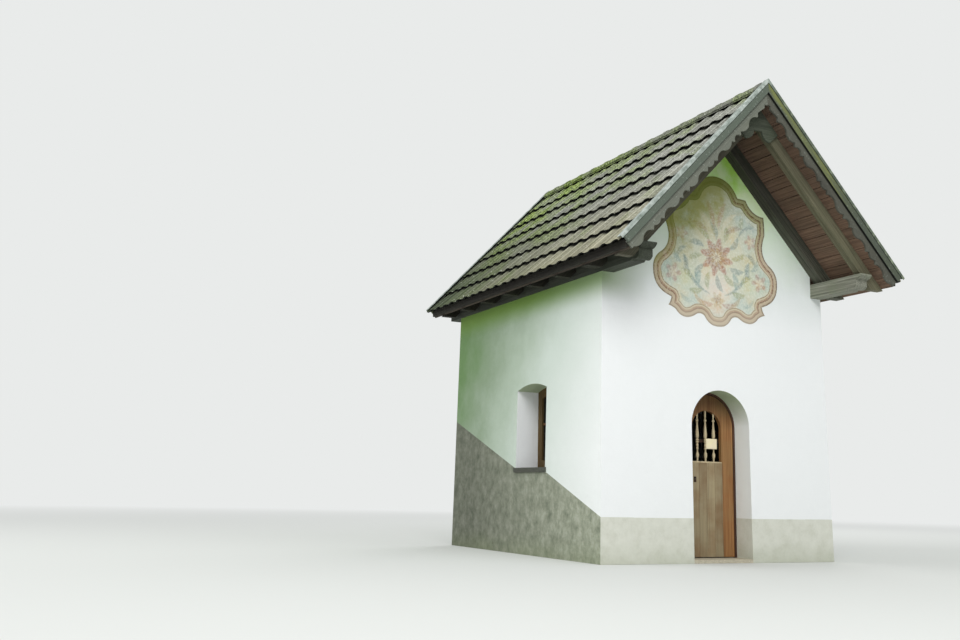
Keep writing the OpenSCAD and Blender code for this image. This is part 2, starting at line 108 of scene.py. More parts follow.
class ChapelRoof(bpy.types.PropertyGroup):
    tile_cover: length("Tile cover", "Width that one tile covers along the eave", 0.198)
    course: length("Course", "Length of one tile course up the slope", 0.350)
    lap: length("Lap", "Length of a tile hidden under the course above", 0.070)
    roll: length("Roll", "Height of a tile's wave from trough to crest", 0.019)
    tile_t: length("Tile thickness", "Thickness of the fired clay", 0.016)
    rise: length("Course rise", "How far a tile sinks from its nose to the next one's", 0.029)
    board_w: length("Board width", "Width of a sheathing board", 0.131)
    ridge_cover: length("Ridge cover", "Depth of slope that the ridge tiles hide", 0.100)


class ChapelDoor(bpy.types.PropertyGroup):
    boards: bpy.props.IntProperty(
        name="Boards", description="Number of boards in the door's lower panel", default=4, min=1, max=8)
    card_w: length("Card width", "Width of the blank card on the grille", 0.138)
    card_h: length("Card height", "Height of the blank card on the grille", 0.106)


class ChapelColours(bpy.types.PropertyGroup):
    lime: colour("Limewash", "Tint of the whole limewash", "#fdfdfd")
    algae: colour("Algae", "Growth on plaster under the roof", "#729148")
    render: colour("Front render", "Plinth across the front", "#d9dacf")
    # The side render's colour holds painted shade
    dark_render: colour("Side render", "Plinth along the sides and the back", "#999e8c")
    clay: colour("Tiles", "Weathered tile clay", "#9fa096")
    moss: colour("Moss", "Moss on the tiles", "#7a8e4a")
    door: colour("Door", "Bare boards of the door", "#aa9c7c")


# Meshes
def quads(rows, columns, wrap=False):
    """Faces between neighbours on a grid of points numbered row by row; wrap joins the last column to the
    first."""
    r = np.arange(rows - 1)[:, None] * columns
    c = np.arange(columns if wrap else columns - 1)[None, :]
    d = (c + 1) % columns
    return np.stack([r + c, r + d, r + columns + d, r + columns + c], axis=-1).reshape(-1, 4)


def make_piece(name, points, faces, material, point_data=None, face_data=None, smooth=False, closed=True):
    """A mesh object at the origin, with named number or colour attributes. A closed shell's faces are turned
    outwards."""
    mesh = bpy.data.meshes.new(name)
    mesh.from_pydata(np.asarray(points, float).reshape(-1, 3).tolist(), [], [list(f) for f in faces])
    for domain, data in (("POINT", point_data or {}), ("FACE", face_data or {})):
        for key, values in data.items():
            values = np.asarray(values, np.float32)
            kind, field = ("FLOAT_COLOR", "color") if values.ndim > 1 else ("FLOAT", "value")
            mesh.attributes.new(key, kind, domain).data.foreach_set(field, values.ravel())
    if closed:
        shell = bmesh.new()
        shell.from_mesh(mesh)
        bmesh.ops.recalc_face_normals(shell, faces=shell.faces)
        shell.to_mesh(mesh)
        shell.free()
    mesh.shade_smooth() if smooth else mesh.shade_flat()
    mesh.materials.append(material)
    piece = bpy.data.objects.new(name, mesh)
    bpy.context.scene.collection.objects.link(piece)
    return piece


def lofts(sections):
    """Closed shells from loops of points. sections has the shape (shells, stations, loop, 3): neighbouring
    stations are joined round the loop, and each end is closed between opposite points of its loop."""
    shells, stations, loop, _ = sections.shape
    k = np.arange(loop // 2 - 1)
    cap = np.stack([k, k + 1, loop - 2 - k, loop - 1 - k], axis=-1)
    one = np.concatenate([quads(stations, loop, wrap=True), cap[:, ::-1], cap + (stations - 1) * loop])
    faces = one[None] + (np.arange(shells) * stations * loop)[:, None, None]
    return sections.reshape(-1, 3), faces.reshape(-1, 4)


def slope_points(side, s, p, y):
    """Points on a roof side, s down the slope from the ridge and p deep under the roof's top plane."""
    x = side * (s * COS - p * SIN)
    z = ROOF_TOP - s * SIN - p * COS
    return np.stack(np.broadcast_arrays(x, y, z), axis=-1)


def plank_loop(width, thickness, chamfer):
    """The eight points of a chamfered rectangle, upper edge first, as offsets across and in depth."""
    w, t, c = width / 2, thickness, chamfer
    return np.array([
        [-w, c], [-w + c, 0], [w - c, 0], [w, c], [w, t - c], [w - c, t], [-w + c, t], [-w, t - c]])


def share_out(first, last, count, joint, thickness, chamfer):
    """Boards that share a width evenly: their middles, and their sections' points across and in depth."""
    width = (last - first) / count
    middle = first + (np.arange(count) + 0.5) * width
    loop = plank_loop(width - joint, thickness, chamfer)
    return middle, (middle[:, None] + loop[None, :, 0])[:, None, :], loop[None, :, 1]


def wall_y(z):
    """The front wall's face: it leans back up to the wall plates and is upright in the gable."""
    return FOOT_Y + LEAN * np.minimum(z, WALL_TOP)


# Materials
def feed(node, links):
    """Gives a node's inputs, by name or in their order, a value, a hex colour, or the node or socket that
    they read. A MapRange takes the value, the range it comes from and the range it goes to."""
    for key, value in links.items() if isinstance(links, dict) else enumerate(links):
        value = linear(value) if isinstance(value, str) else value
        value = value.outputs[0] if isinstance(value, bpy.types.Node) else value
        if isinstance(value, bpy.types.NodeSocket):
            node.id_data.links.new(value, node.inputs[key])
        else:
            node.inputs[key].default_value = value


def add_node(tree, kind, links=(), stops=(), **settings):
    """Adds one shader node with its settings, feeds its inputs, and gives a ramp its places and colours."""
    node = tree.nodes.new("ShaderNode" + kind)
    for key, value in settings.items():
        setattr(node, key, value)
    for i, (place, code) in enumerate(stops):
        knot = node.color_ramp.elements[i] if i < 2 else node.color_ramp.elements.new(place)
        knot.position = place
        knot.color = linear(code) if isinstance(code, str) else code
    feed(node, links)
    return node


def new_material(name, **sockets):
    """A named material, what adds a node to it, and the place on the object, which patterns read. sockets
    sets what is the same all over its Principled shader; _ stands for a space."""
    made = bpy.data.materials.new(name)
    made.use_nodes = True
    shader = made.node_tree.nodes["Principled BSDF"]
    feed(shader, {key.replace("_", " "): value for key, value in sockets.items()})
    add = partial(add_node, made.node_tree)
    return made, add, add("TexCoord").outputs["Object"]


def surfaced(made, hue, height=None, depth=0.0, **sockets):
    """The material with its colour and other varied sockets fed, and raised by the height pattern. depth is
    the relief in metres."""
    shader = made.node_tree.nodes["Principled BSDF"]
    feed(shader, {"Base Color": hue, **sockets})
    if height:
        feed(shader, {"Normal": add_node(made.node_tree, "Bump", {"Height": height, "Distance": depth})})
    return made


def limewash(colours):
    """Lime plaster under many coats of limewash: matt and softly uneven, white in the open, grey-green
    towards the back with algae and painted shade of the trees, bright green where the roof keeps it damp,
    and greenest high in the gables with painted green light reflected from foliage."""
    made, add, here = new_material("limewashed plaster", Roughness=0.92, Specular_IOR_Level=0.2)
    at = add("SeparateXYZ", [here]).outputs
    facing = add("SeparateXYZ", [add("TexCoord").outputs["Normal"]]).outputs
    cloudy = add("TexNoise", {"Vector": here, "Scale": per_metre(380), "Detail": 7.0, "Roughness": 0.62})
    # Front and back: greener with height in the gables, algae and painted green light reflected from foliage
    patchy = add("MapRange", [cloudy, 0.3, 0.7, 0.82, 1.15])
    height = add("MapRange", [at["Z"], 2.4, 4.2])
    height = add("Math", [height, patchy], operation="MULTIPLY", use_clamp=True)
    gable = add("ValToRGB", [height], stops=[
        (0.0, "#f5f7f8"), (0.22, "#eaefee"), (0.42, "#e0ebdf"), (0.58, "#d8e8d3"), (0.75, "#d0e3b6"),
        (0.85, "#bedf97"), (0.96, "#a8d862")])
    # Sides and the back wall: algae that grows towards the back, with painted shade of the trees
    side_turn = add("Math", [facing["X"]], operation="ABSOLUTE")
    back_turn = add("MapRange", [at["Y"], BACK_Y - 0.07, BACK_Y - 0.04])
    aside = add("Math", [side_turn, back_turn], operation="MAXIMUM")
    along = add("MapRange", [at["Y"], FOOT_Y - 0.3, BACK_Y + 0.35])
    upwards = add("MapRange", [at["Z"], 1.0, WALL_TOP, -0.05, 0.22])
    film_and_shade = add("Math", [along, upwards], operation="ADD")
    smooth = add("MapRange", [cloudy, 0.3, 0.7, 0.92, 1.06])
    film_and_shade = add("Math", [film_and_shade, smooth], operation="MULTIPLY")
    # Thinner in the middle of the back wall, away from the wet corners
    off_middle = add("Math", [at["X"]], operation="ABSOLUTE")
    inward = add("MapRange", [off_middle, 0.0, 1.36, 0.66, 1.0])
    film_and_shade = add("Math", [film_and_shade, inward], operation="MULTIPLY")
    film_and_shade = add("ValToRGB", [film_and_shade], stops=[
        (0.05, "#f3f6f5"), (0.22, "#e4eae6"), (0.42, "#ced9d0"), (0.60, "#b0bfae"), (0.78, "#8fa189"),
        (1.02, "#6c8a5c")])
    tinted = add("MixRGB", [aside, gable, film_and_shade])
    # Along the wall's head, under the eave
    head = add("MapRange", [at["Z"], WALL_TOP - 0.33, WALL_TOP - 0.04], interpolation_type="SMOOTHSTEP")
    head_back = add("MapRange", [at["Y"], FOOT_Y, FOOT_Y + 1.5, 0.8, 1.0])
    head = add("Math", [head, head_back], operation="MULTIPLY")
    corner = add("MapRange", [at["X"], -0.85, -1.4])
    corner = add("Math", [corner, side_turn], operation="MAXIMUM")
    head = add("Math", [head, corner], operation="MULTIPLY")
    grown = add("MixRGB", [head, tinted, colours.algae])
    # Undersides of the arches are painted a darker green-grey, as shade
    soffit = add("MapRange", [facing["Z"], -0.05, -0.85, 0.0, 0.8])
    damp = add("MixRGB", [soffit, grown, "#93a574"])
    whole = add("MixRGB", [1.0, damp, colours.lime], blend_type="MULTIPLY")
    trowel = add("TexNoise", {"Vector": here, "Scale": per_metre(120), "Detail": 3.0})
    grit = add("TexNoise", {"Vector": here, "Scale": per_metre(7), "Detail": 2.0})
    return surfaced(made, whole, add("MixRGB", [0.22, trowel, grit]), 0.010)


def cement_render(colours):
    """Sand and cement render, floated: light grey across the front; along the sides darker as painted shade,
    which deepens towards the back, and damp and scratched downwards, with sandy grit."""
    made, add, here = new_material("sanded cement render", Roughness=0.93, Specular_IOR_Level=0.25)
    at = add("SeparateXYZ", [here]).outputs
    facing = add("SeparateXYZ", [add("TexCoord").outputs["Normal"]]).outputs
    blots = add("TexNoise", {"Vector": here, "Scale": per_metre(120), "Detail": 9.0, "Roughness": 0.68})
    broad = add("TexNoise", {"Vector": here, "Scale": per_metre(620), "Detail": 4.0})
    downwards = add("Mapping", {"Vector": here, "Scale": per_metre(9, 9, 160)})
    scratches = add("TexNoise", {"Vector": downwards, "Scale": 1.0, "Detail": 4.0})
    side_turn = add("Math", [facing["X"]], operation="ABSOLUTE")
    off_middle = add("Math", [at["X"]], operation="ABSOLUTE")
    outer = add("MapRange", [off_middle, 0.5, 1.2])
    back_turn = add("MapRange", [at["Y"], BACK_Y - 0.35, BACK_Y - 0.25])
    # Along the sides and the back the render is painted darker, as shade
    dark = add("Math", [side_turn, outer], operation="MULTIPLY")
    dark = add("Math", [dark, back_turn], operation="MAXIMUM")
    front = add("ValToRGB", [blots], stops=[(0.25, "#cbccbe"), (0.5, colours.render), (0.8, "#e3e4da")])
    side = add("ValToRGB", [blots], stops=[(0.3, "#767d6c"), (0.5, colours.dark_render), (0.7, "#b6b9a9")])
    # Scratches, and painted shade that deepens towards the back
    for tone in (add("MapRange", [scratches, 0.35, 0.7, 0.92, 1.05]),
                 add("MapRange", [at["Y"], FOOT_Y, BACK_Y - 0.5, 1.12, 0.5])):
        side = add("MixRGB", [1.0, side, tone], blend_type="MULTIPLY")
    base = add("MixRGB", [dark, front, side])
    low = add("MapRange", [at["Z"], 0.22, 0.0, 0.0, 0.5])
    low = add("Math", [low, broad], operation="MULTIPLY")
    base = add("MixRGB", [low, base, "#85906a"])
    sand = add("TexNoise", {"Vector": here, "Scale": per_metre(4), "Detail": 2.0})
    float_marks = add("TexNoise", {"Vector": here, "Scale": per_metre(90), "Detail": 4.0})
    return surfaced(made, base, add("MixRGB", [0.3, float_marks, sand]), 0.008)


def timber(name, turn, dark, light, stain, stained, grain_mm, painted_shade=None, rough=0.78):
    """Sawn wood gone grey: long fibres along the piece, darker checks between them and broad stains. A board
    attribute shifts the pattern and the tone from board to board. painted_shade names an axis, the places
    between which painted shade darkens the wood and the share of light left there."""
    made, add, here = new_material(name, Roughness=rough, Specular_IOR_Level=0.3)
    board = add("Attribute", attribute_name="board").outputs
    shift = add("VectorMath", [board["Color"], (7.1, 3.7, 5.3)], operation="MULTIPLY")
    moved = add("VectorMath", [here, shift], operation="ADD")
    turned = add("Mapping", {"Vector": moved, "Rotation": turn})
    fibres = add("Mapping", {"Vector": turned, "Scale": per_metre(650, grain_mm, grain_mm)})
    fibres = add("TexNoise", {"Vector": fibres, "Scale": 1.0, "Detail": 6.0, "Distortion": 0.4})
    rings = add("Mapping", {"Vector": turned, "Scale": per_metre(900, 26, 26)})
    rings = add("TexNoise", {"Vector": rings, "Scale": 1.0, "Detail": 3.0, "Distortion": 1.2})
    grain = add("MixRGB", [0.35, fibres, rings])
    wood = add("ValToRGB", [grain], stops=[(0.32, dark), (0.68, light)])
    cloudy = add("TexNoise", {"Vector": moved, "Scale": per_metre(260), "Detail": 5.0})
    wood = add("MixRGB", [add("MapRange", [cloudy, 0.42, 0.7, 0.0, stained]), wood, stain])
    tone = add("MapRange", [board["Fac"], 0.0, 1.0, 1.0, 0.68])
    wood = add("MixRGB", [1.0, wood, tone], blend_type="MULTIPLY")
    # Painted shade: the wood darkens between two places along one axis
    if painted_shade:
        axis, start, end, share = painted_shade
        at = add("SeparateXYZ", [here]).outputs
        left = add("MapRange", [at[axis], start, end, 1.0, share])
        wood = add("MixRGB", [1.0, wood, left], blend_type="MULTIPLY")
    # Deeper than sawn wood's real relief, so that it shows
    return surfaced(made, wood, grain, 0.0064)


def fired_clay(colours, name, moss_amount):
    """Interlocking clay tiles, decades old: dusty grey with lichen spots, each tile a little different, its
    roll painted lighter and its trough darker as painted light and shade, with dirt in the trough, painted
    shadow with dirt just below each nose, undersides and ends painted near black as shade, the lower back
    corner painted darker as the shade of trees, and mossy towards the ridge and the back."""
    made, add, here = new_material(name, Roughness=0.9, Specular_IOR_Level=0.25)
    at = add("SeparateXYZ", [here]).outputs
    tile, under, grime, crest = (add("Attribute", attribute_name=key).outputs["Fac"]
                                 for key in ("tile", "under", "grime", "crest"))
    dust = add("TexNoise", {"Vector": here, "Scale": per_metre(22), "Detail": 8.0, "Roughness": 0.75})
    broad = add("TexNoise", {"Vector": here, "Scale": per_metre(420), "Detail": 5.0})
    clay = add("ValToRGB", [dust], stops=[(0.28, "#60615a"), (0.5, colours.clay), (0.7, "#dadcd3")])
    # Browner low down
    clay = add("MixRGB", [add("MapRange", [at["Z"], 3.9, 2.85, 0.0, 0.6]), clay, "#a7a17c"])
    tone = add("MapRange", [tile, 0.0, 1.0, 0.8, 1.12])
    clay = add("MixRGB", [1.0, clay, tone], blend_type="MULTIPLY")
    # Moss gathers in patches towards the back and the ridge
    damp = add("MapRange", [at["Y"], FOOT_Y, BACK_Y, 0.0, 0.75])
    high = add("MapRange", [at["Z"], 2.9, ROOF_TOP, 0.0, 0.35])
    damp = add("Math", [damp, high], operation="ADD")
    uneven = add("MapRange", [broad, 0.38, 0.62, -0.65, 0.1])
    damp = add("Math", [damp, uneven], operation="ADD")
    damp = add("Math", [damp, moss_amount], operation="ADD", use_clamp=True)
    moss = add("ValToRGB", [dust], stops=[(0.38, "#37461f"), (0.5, colours.moss), (0.62, "#d9ef90")])
    clay = add("MixRGB", [damp, clay, moss])
    # The lower back corner is painted darker and greener, as the shade of trees
    tree_shade_back = add("MapRange", [at["Y"], FOOT_Y, BACK_Y])
    tree_shade_low = add("MapRange", [at["Z"], 4.3, 3.2])
    tree_shade = add("Math", [tree_shade_back, tree_shade_low], operation="MULTIPLY")
    clay = add("MixRGB", [tree_shade, clay, "#525b46"])
    # Painted light on each roll and painted shade in each trough, where dirt also lies; the lap edge is
    # darker
    wave_light_shade_dirt_tone = add("MapRange", [crest, 0.0, 1.0, 0.70, 1.14])
    clay = add("MixRGB", [1.0, clay, wave_light_shade_dirt_tone], blend_type="MULTIPLY")
    lichen = add("TexNoise", {"Vector": here, "Scale": per_metre(34), "Detail": 3.0})
    lichen = add("MapRange", [lichen, 0.66, 0.70, 0.0, 0.7])
    clay = add("MixRGB", [lichen, clay, "#c9cfc0"])
    # Painted shadow with grime just below each nose
    nose_shadow_colour = add("ValToRGB", [grime], stops=[(0.1, "#4a4c31"), (0.7, "#10120a")])
    clay = add("MixRGB", [grime, clay, nose_shadow_colour])
    # Undersides and ends of the tiles are painted near black, as shade
    return surfaced(made, add("MixRGB", [under, clay, "#080905"]), dust, 0.005)


def folded_sheet():
    """Galvanised sheet folded over the rakes: chalky pale grey with white rust, dull and green on the damp
    right."""
    made, add, here = new_material("weathered galvanised sheet", Specular_IOR_Level=0.5)
    at = add("SeparateXYZ", [here]).outputs
    blots = add("TexNoise", {"Vector": here, "Scale": per_metre(60), "Detail": 7.0})
    chalky = add("ValToRGB", [blots], stops=[(0.3, "#78837b"), (0.5, "#98a29b"), (0.75, "#cad1cc")])
    soiled = add("ValToRGB", [blots], stops=[(0.3, "#2a342a"), (0.5, "#46523a"), (0.75, "#7d8768")])
    right = add("MapRange", [at["X"], -0.02, 0.1, 0.0, 0.85])
    matt = add("MapRange", [blots, 0.0, 1.0, 0.5, 0.75])
    return surfaced(made, add("MixRGB", [right, chalky, soiled]), Roughness=matt)


def algae_paint(name, turn, clean, growth, spread, high_only=0.0):
    """Old oil paint on a rake board: chalky, speckled and cracked along the grain, with algae in the damp
    stretches. spread widens them, and at 1 high_only keeps them high up."""
    made, add, here = new_material(name, Roughness=0.7, Specular_IOR_Level=0.35)
    at = add("SeparateXYZ", [here]).outputs
    turned = add("Mapping", {"Vector": here, "Rotation": turn})
    grain = add("Mapping", {"Vector": turned, "Scale": per_metre(420, 9, 9)})
    grain = add("TexNoise", {"Vector": grain, "Scale": 1.0, "Detail": 5.0})
    paint = add("MixRGB", [grain, clean, "#575f55"])
    speck = add("TexNoise", {"Vector": here, "Scale": per_metre(24), "Detail": 4.0})
    flaked = add("MapRange", [speck, 0.60, 0.72, 0.0, 0.35])
    paint = add("MixRGB", [flaked, paint, "#b9c1ba"])
    patches = add("Mapping", {"Vector": turned, "Scale": per_metre(700, 110, 110)})
    patches = add("TexNoise", {"Vector": patches, "Scale": 1.0, "Detail": 6.0})
    cover = add("MapRange", [patches, 0.62 - spread, 0.74, 0.0, 0.9])
    climb = add("MapRange", [at["Z"], 3.3, 4.0, 1.0 - high_only, 1.0])
    cover = add("Math", [cover, climb], operation="MULTIPLY")
    paint = add("MixRGB", [cover, paint, growth])
    # Dark lines at fixed depths under the roof's top plane: painted shadow under the cap's drip and under the
    # upper board's lower edge
    band = 0.2
    drip, low = CAP_DRIP_P / band, FASCIA_LOW_P / band
    off_middle = add("Math", [at["X"]], operation="ABSOLUTE")
    out_share = add("Math", [off_middle, SIN], operation="MULTIPLY")
    up_share = add("Math", [at["Z"], COS], operation="MULTIPLY")
    depth = add("Math", [out_share, up_share], operation="ADD")
    depth = add("MapRange", [depth, ROOF_TOP * COS, ROOF_TOP * COS - band])
    shadow_lines = add("ValToRGB", [depth], stops=[
        (drip, "#4a4a46"), (drip + 0.05, "#ffffff"), (low - 0.01, "#ffffff"), (low, "#3c3c39"),
        (low + 0.05, "#ffffff")])
    return surfaced(made, add("MixRGB", [1.0, paint, shadow_lines], blend_type="MULTIPLY"), grain, 0.004)


def stone(name, dark, light):
    """Dressed stone: speckled, rubbed on top and dirty in its pores."""
    made, add, here = new_material(name, Roughness=0.85, Specular_IOR_Level=0.35)
    speck = add("TexNoise", {"Vector": here, "Scale": per_metre(18), "Detail": 8.0, "Roughness": 0.7})
    return surfaced(made, add("ValToRGB", [speck], stops=[(0.3, dark), (0.7, light)]), speck, 0.005)


def forged_iron():
    """Forged iron, long indoors: near black, with brown rust blooms and a dull shine."""
    made, add, here = new_material("forged iron", Metallic=0.7)
    bloom = add("TexNoise", {"Vector": here, "Scale": per_metre(22), "Detail": 7.0})
    hue = add("ValToRGB", [bloom], stops=[(0.42, "#2a2825"), (0.62, "#4a3426")])
    matt = add("MapRange", [bloom, 0.0, 1.0, 0.4, 0.85])
    return surfaced(made, hue, Roughness=matt)


def window_pane():
    """Old window glass, a little wavy, with a dark room behind it."""
    made, add, here = new_material(
        "drawn window glass", Roughness=0.06, IOR=1.5, Transmission_Weight=0.35)
    waves = add("TexNoise", {"Vector": here, "Scale": per_metre(140), "Detail": 1.0})
    return surfaced(made, "#1c2123", waves, 0.004)


def card_paper():
    """Cream card: smooth, faintly blotched by damp."""
    made, add, here = new_material("cream card", Roughness=0.5)
    blots = add("TexNoise", {"Vector": here, "Scale": per_metre(45), "Detail": 3.0})
    return surfaced(made, add("ValToRGB", [blots], stops=[(0.3, "#f3e7bd"), (0.7, "#efe0c4")]))


def finish(piece, body, slot, *replaced):
    """Declares what a finished piece rides on and the nodes that it stands for; its material slot, slot, is
    not used.
    """
    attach(piece, body)
    if replaced:
        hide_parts(*replaced)


def dress(material, *nodes):
    """Gives CAD nodes a material."""
    for name in nodes:
        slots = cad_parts[name].material_slots
        for held in slots:
            held.material = material
        if not slots:
            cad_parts[name].data.materials.append(material)


class CHAPEL_OT_stage(bpy.types.Operator):
    """Pale floor, soft studio light and the camera"""
    bl_idname = "chapel.stage"
    bl_label = "Stage"

    def execute(self, context):
        scene = context.scene
        self.lay_floor()
        self.hang_lamps(scene)
        self.set_camera(scene)
        scene.view_settings.view_transform = "Standard"
        return {"FINISHED"}

    def lay_floor(self):
        """A flat disc: radius times cosine and sine of the turn. Far out it glows like the backdrop."""
        radius = np.array([0.001, 6, 12, 20, 35, 60])[:, None]
        turn = np.linspace(0, 2 * math.pi, 97)[None, :-1]
        points = np.stack(np.broadcast_arrays(radius * np.cos(turn), radius * np.sin(turn), -0.001), axis=-1)
        made, add, here = new_material(
            "pale studio floor", Base_Color="#dcdedb", Roughness=0.95, Specular_IOR_Level=0.1)
        reach = add("VectorMath", [here], operation="LENGTH").outputs["Value"]
        near, far = made.node_tree.nodes["Principled BSDF"], add("Emission", ["#e9ebea", 1.0])
        mixed = add("MixShader", [add("MapRange", [reach, 5.0, 24.0]), near, far])
        feed(made.node_tree.nodes["Material Output"], {"Surface": mixed})
        floor = make_piece("studio_floor", points, quads(6, 96, wrap=True)[:, ::-1], made, closed=False)

    def hang_lamps(self, scene):
        """Three wide lamps, each turned to its aim, and a pale sky that lights less than it shows."""
        for name, spot, aim, size, power in (
                ("key", (-6.5, -11.0, 9.5), (0, -0.4, 2.0), 6.0, 850),
                ("side", (-12.0, 3.0, 8.0), (0, 0.4, 2.2), 6.0, 360),
                ("far", (9.0, 9.0, 9.0), (0, 0, 2.4), 7.0, 450)):
            lamp = bpy.data.lights.new(name, "AREA")
            lamp.energy = power
            lamp.size = size
            holder = bpy.data.objects.new(name, lamp)
            facing = (Vector(spot) - Vector(aim)).to_track_quat("Z", "Y").to_matrix().to_4x4()
            holder.matrix_world = Matrix.Translation(spot) @ facing
            scene.collection.objects.link(holder)
        world = bpy.data.worlds.new("studio")
        scene.world = world
        world.use_nodes = True
        world.node_tree.nodes.clear()
        add = partial(add_node, world.node_tree)
        ray = add("LightPath").outputs
        seen = add("Math", [ray["Is Camera Ray"], ray["Is Transmission Ray"]], operation="MAXIMUM")
        strength = add("MapRange", [seen, 0.0, 1.0, 0.8, 1.0])
        add("OutputWorld", [add("Background", ["#e9ebea", strength])])

    def set_camera(self, scene):
        """The photograph's view, from points solved on the building's straight edges: where it looks is the
        cosine and sine of its turn and climb, and right and up are turned by its roll."""
        turn, climb, roll = (math.radians(angle) for angle in (25.6747, 9.6301, 1.2454))
        level = np.array([math.sin(turn), math.cos(turn), 0.0])
        ahead = level * math.cos(climb) + np.array([0.0, 0.0, math.sin(climb)])
        right = np.array([math.cos(turn), -math.sin(turn), 0.0])
        up = np.cross(right, ahead)
        right, up = right * math.cos(roll) + up * math.sin(roll), up * math.cos(roll) - right * math.sin(roll)
        lens = bpy.data.cameras.new("camera")
        lens.sensor_width = 36.0
        lens.lens = 38.205
        lens.clip_end = 200.0
        holder = bpy.data.objects.new("camera", lens)
        axes = Matrix(np.stack([right, up, -ahead], axis=1).tolist()).to_4x4()
        holder.matrix_world = Matrix.Translation((-6.7175, -9.6786, 0.6361)) @ axes
        scene.collection.objects.link(holder)
        scene.camera = holder


class CHAPEL_OT_tiles(bpy.types.Operator):
    """Wavy interlocking tiles in courses on both roof sides"""
    bl_idname = "chapel.tiles"
    bl_label = "Roof tiles"

    def execute(self, context):
        clay = fired_clay(context.scene.chapel_colours, "weathered clay tiles", 0.0)
        for side, name in ((-1, "left"), (1, "right")):
            points, faces, *marks = self.shape(context.scene.chapel_roof, side)
            piece = make_piece("roof_tiles_" + name, points, faces, clay, *marks, smooth=True)
            piece.data.set_sharp_from_angle(angle=math.radians(40))
            finish(piece, "chapel", "clay_tiles", "tiles_" + name)
        return {"FINISHED"}

    def shape(self, roof, side):
        """Each tile is a sheet whose section is a lopsided wave: a half cosine up over 56 parts of its width,
        a half cosine down over 44, and a low step where it laps its neighbour. It sinks evenly from its nose
        to its top end under the next course, where painted shadow with dirt darkens it."""
        random = np.random.default_rng(11 + side)
        columns = round((TILE_HI.y - TILE_LO.y) / roof.tile_cover)
        cover = (TILE_HI.y - TILE_LO.y) / columns
        rows = int((SLOPE_L - roof.ridge_cover) / roof.course)
        # The section: v runs across the tile in shares of its cover, and the trough lies at low
        up, down, low = 0.56, 0.44, 0.24
        v = np.array([-0.02, 0.08, 0.16, 0.24, 0.33, 0.42, 0.52, 0.62, 0.71, 0.8, 0.88, 0.95, 1.02])
        falling = 0.5 + 0.5 * np.cos(np.pi * np.where(v < low, v + 1 - low - up, v - low - up) / down)
        rising = 0.5 - 0.5 * np.cos(np.pi * (v - low) / up)
        wave = np.where((v > low) & (v < low + up), rising, falling)
        lap_step = 0.0022
        height = roof.roll * wave + lap_step * np.clip((v - 0.8) / 0.2, 0, 1)
        # Its stations: u runs up the slope from the nose, whose lip is rounded off
        # How far down from the next course's nose the painted shadow with grime reaches
        nose_shadow_reach = 0.055
        u = np.array([0.0, 0.005, roof.course * 0.5, roof.course - nose_shadow_reach, roof.course - nose_shadow_reach / 3,
                      roof.course + roof.lap])
        lip = np.array([0.003, 0.0, 0.0, 0.0, 0.0, 0.0])
        sink = TILE_P + roof.roll + lap_step + roof.rise * u / roof.course + lip
        top = sink[:, None] - height[None, :]
        bottom = top + roof.tile_t - lip[:, None]
        depth = np.concatenate([top, bottom[:, ::-1]], axis=1)
        across = np.concatenate([v, v[::-1]])[None, :]
        # Each tile lies a little off its place
        row, column = (a.reshape(-1, 1, 1) for a in np.indices((rows, columns)))
        n = len(row)
        slip, lift, skew = (random.uniform(-most, most, (n, 1, 1)) for most in (0.004, 0.0015, 0.005))
        nose_gap = 0.004
        s = SLOPE_L - nose_gap - row * roof.course - u[:, None] + slip + skew * (across - 0.5)
        along = (column + across) * cover
        y = np.clip(TILE_LO.y + along if side > 0 else TILE_HI.y - along, TILE_LO.y, TILE_HI.y)
        points, faces = lofts(slope_points(side, s, depth + lift, y))
        # Marks for the clay: undersides and ends to paint near black as shade, a tone for each tile, painted
        # shadow with grime under the next course's nose, and the wave for painted light and shade
        stations, loop = depth.shape
        k = np.arange(loop)
        # Undersides and ends, to be painted near black as shade
        below = np.tile((k >= loop // 2) & (k < loop - 1), stations - 1)
        under = np.tile(np.concatenate([below, np.full(loop - 2, True)]), n)
        tone = np.repeat(random.uniform(0, 1, n), stations * loop)
        grime = np.tile(np.repeat(np.where(u > roof.course - nose_shadow_reach / 2, 1.0, 0.0), loop), n)
        crest = np.tile(np.concatenate([wave, wave[::-1]]) - 0.8 * (across[0] > 0.93), stations * n)
        return points, faces, {"tile": tone, "grime": grime, "crest": crest}, {"under": under}


class CHAPEL_OT_soffit(bpy.types.Operator):
    """Separate sheathing boards under the tiles, parallel to the ridge"""
    bl_idname = "chapel.soffit"
    bl_label = "Sheathing boards"

    def execute(self, context):
        """The boards share out the slope, and each sags a little by its own amount."""
        first = (SHEATH_P + SHEATH_T) * TAN + 0.002
        last = (DECK_HI.x + SHEATH_P * SIN) / COS
        count = round((last - first) / context.scene.chapel_roof.board_w)
        # The left side's boards are painted darker, as shade
        for side, name, *tones in ((-1, "left", "#29241f", "#54483d"), (1, "right", "#4f3c31", "#957964")):
            random = np.random.default_rng(21 + side)
            middle, s, depth = share_out(first, last, count, 0.004, SHEATH_T, 0.002)
            p = (SHEATH_P + depth + random.uniform(0, 0.0015, count)[:, None])[:, None, :]
            points, faces = lofts(slope_points(side, s, p, np.array([DECK_LO.y, DECK_HI.y])[None, :, None]))
            # Painted shade darkens the boards towards the ridge
            tone = np.repeat(0.25 * random.uniform(0, 1, count) + 1.7 * (1 - middle / last) ** 2, 16)
            wood = timber("sheathing boards " + name, ALONG_Y, *tones, "#574f43", 0.35, 7)
            piece = make_piece("sheathing_boards_" + name, points, faces, wood, {"board": tone})
            finish(piece, "chapel", "sheathing_boards", "sheathing_" + name)
        return {"FINISHED"}


